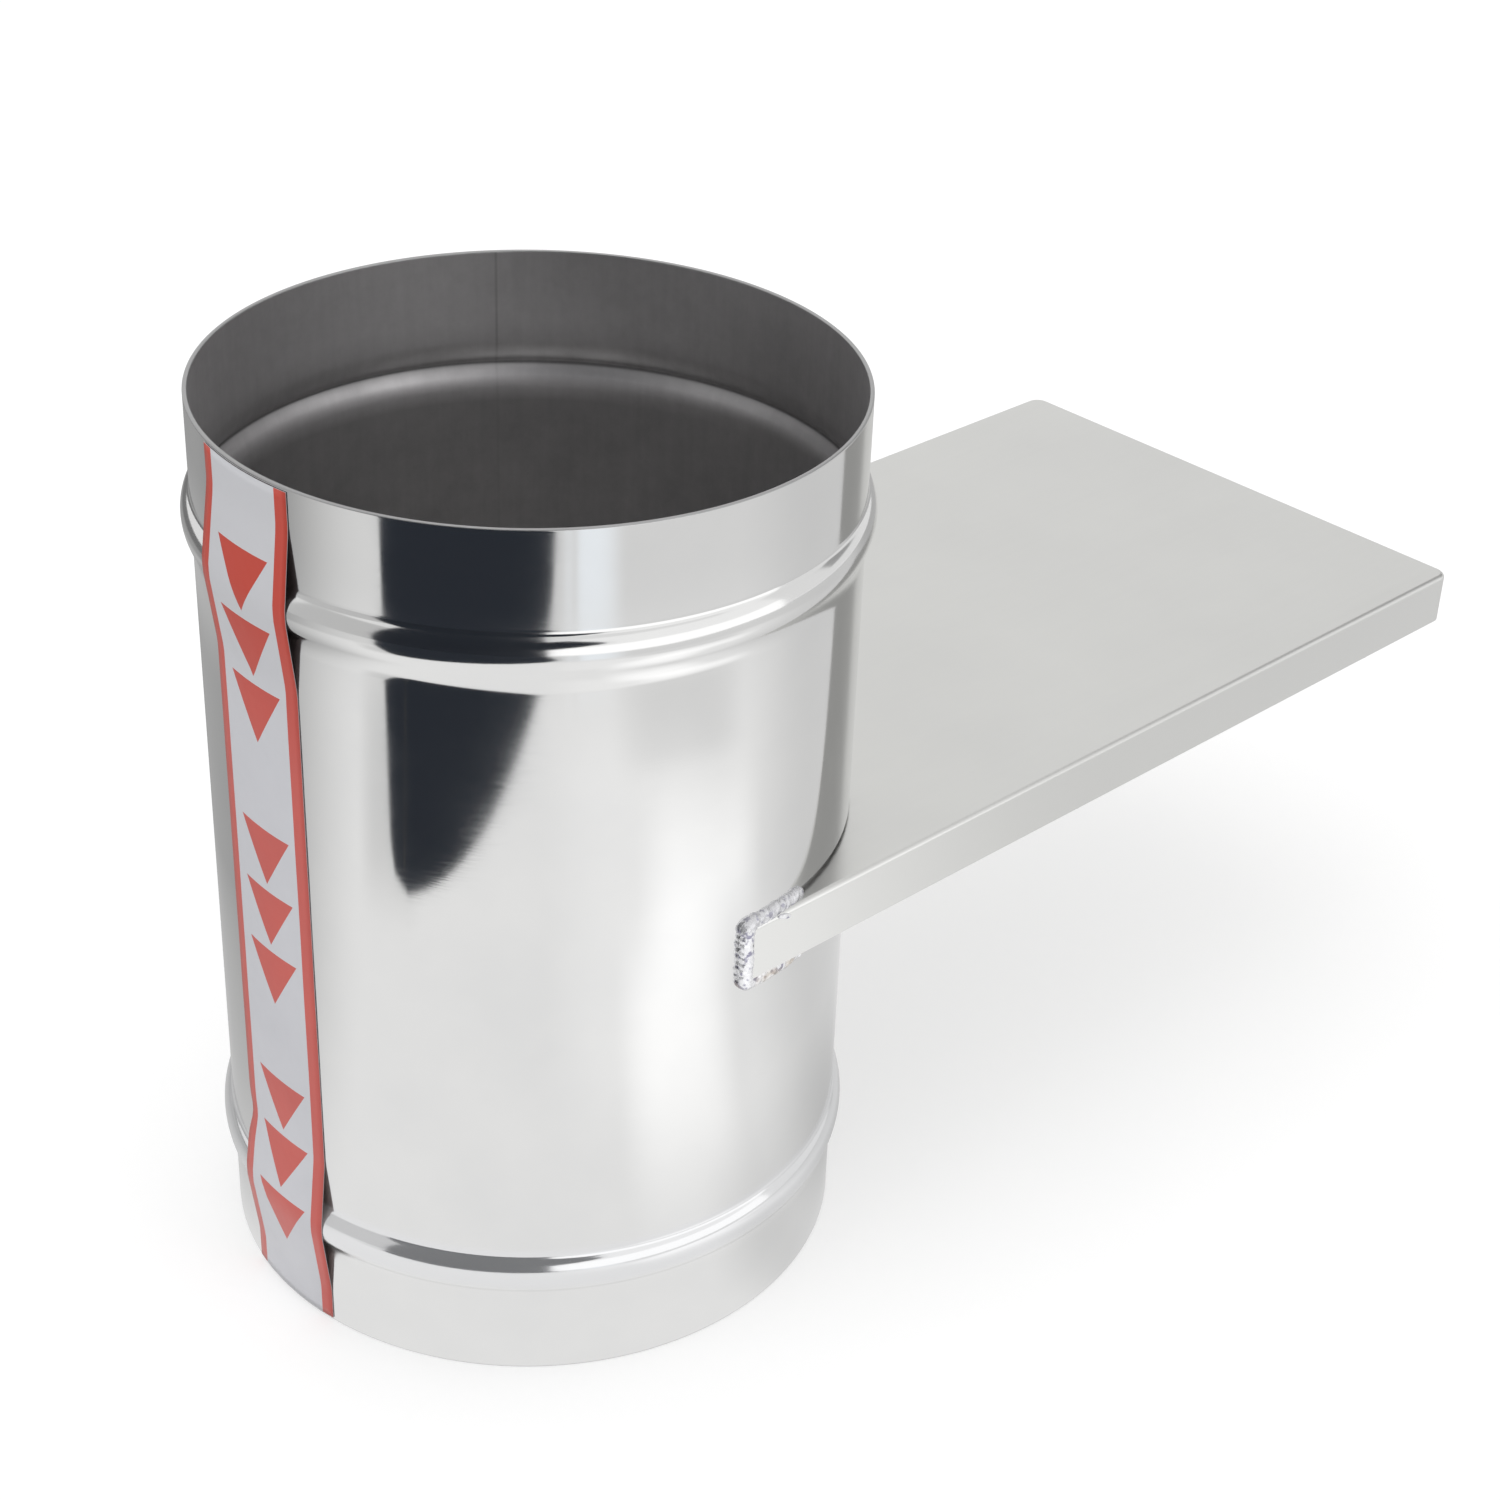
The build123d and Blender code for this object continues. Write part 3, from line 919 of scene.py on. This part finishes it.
floor_plan = [(-FLOOR_HALF, -FLOOR_HALF), (FLOOR_HALF, -FLOOR_HALF), (FLOOR_HALF, FLOOR_HALF),
              (-FLOOR_HALF, FLOOR_HALF)]
flat_shape("floor", on_floor(floor_plan, 0), white_floor())

lit_turns = [math.tau * step / LIT_STEPS for step in range(LIT_STEPS)]
lit_disc = [(LIT_RADIUS * math.cos(turn), LIT_RADIUS * math.sin(turn)) for turn in lit_turns]
reflection_card("lit_floor", on_floor(lit_disc, LIT_HEIGHT), lit_floor())

black = stage_material("card_black", CARD_BLACK, rough=0.8)
reflection_card("dark_floor", on_floor(DARK_PATCH, DARK_HEIGHT), black)
reflection_card("dark_glint", on_floor(DARK_GLINT, GLINT_HEIGHT), emission_material("dark_glint", 0.05)[0])
reflection_card("dark_wall", upright(DARK_RIGHT, DARK_LEFT, 0, DARK_WALL_TOP), black)
reflection_card("dark_tail", DARK_TAIL, black)

lit_low = emission_material("lit_low", 1.35)[0]
lit_high = emission_material("lit_high", 1.08)[0]
for number, (start, end) in enumerate(zip(LIT_PLAN, LIT_PLAN[1:])):
    reflection_card(f"lit_low_{number}", upright(start, end, 0, LIT_MIDDLE), lit_low)
    reflection_card(f"lit_high_{number}", upright(start, end, LIT_MIDDLE, LIT_TOP), lit_high)

dim_left = emission_material("dim_left", 0.62)[0]
reflection_card("dim_left", upright(DARK_LEFT, DIM_LEFT_END, 0, DIM_LEFT_TOP), dim_left)
dim_side = emission_material("dim_side", 0.40)[0]
reflection_card("dim_side", upright(*DIM_SIDE_PLAN, *DIM_SIDE_HEIGHTS), dim_side)


# Light

world = bpy.data.worlds.new("studio")
bpy.context.scene.world = world
world.use_nodes = True
background = world.node_tree.nodes["Background"]
background.inputs["Color"].default_value = WHITE
background.inputs["Strength"].default_value = 0.90


def area_lamp(name, place, target, size, power):
    """Soft square lamp aimed at a point."""
    data = bpy.data.lights.new(name, "AREA")
    data.shape = "SQUARE"
    data.size = size
    data.energy = power
    lamp = bpy.data.objects.new(name, data)
    bpy.context.scene.collection.objects.link(lamp)
    lamp.location = place
    lamp.rotation_mode = "QUATERNION"
    lamp.rotation_quaternion = (Vector(target) - Vector(place)).to_track_quat("-Z", "Y")
    lamp.visible_glossy = False


PIPE_MIDDLE = (0.0, 0.0, 0.1)
area_lamp("overhead", (0.1, 0.1, 1.9), (0.05, 0.0, 0.1), size=1.6, power=4.5)
area_lamp("side", seen_from_front(1300, -900, 1100), PIPE_MIDDLE, size=0.9, power=2.5)
area_lamp("fill", seen_from_front(-1300, -700, 900), PIPE_MIDDLE, size=1.2, power=5.0)


# Camera, fitted to the photo: focal length in its pixels, place in millimetres, angles in degrees

PHOTO_WIDTH = 1500.0
FOCAL_PIXELS = 2835.79
SENSOR_WIDTH = 36.0
CAMERA_PLACE = (0.0, -573.35, 470.56)
CAMERA_HEADING = -5.105
CAMERA_DROP = 31.04
CAMERA_ROLL = 2.36

camera_data = bpy.data.cameras.new("camera")
camera_data.sensor_width = SENSOR_WIDTH
camera_data.lens = SENSOR_WIDTH * FOCAL_PIXELS / PHOTO_WIDTH
camera = bpy.data.objects.new("camera", camera_data)
bpy.context.scene.collection.objects.link(camera)
heading = math.radians(CAMERA_HEADING) + VIEW_TURN
tilt = math.radians(90.0 - CAMERA_DROP)
roll = math.radians(CAMERA_ROLL)
turn = Matrix.Rotation(heading, 4, "Z") @ Matrix.Rotation(tilt, 4, "X") @ Matrix.Rotation(roll, 4, "Z")
camera.matrix_world = Matrix.Translation(seen_from_front(*CAMERA_PLACE)) @ turn
bpy.context.scene.camera = camera
bpy.context.scene.view_settings.view_transform = "Standard"
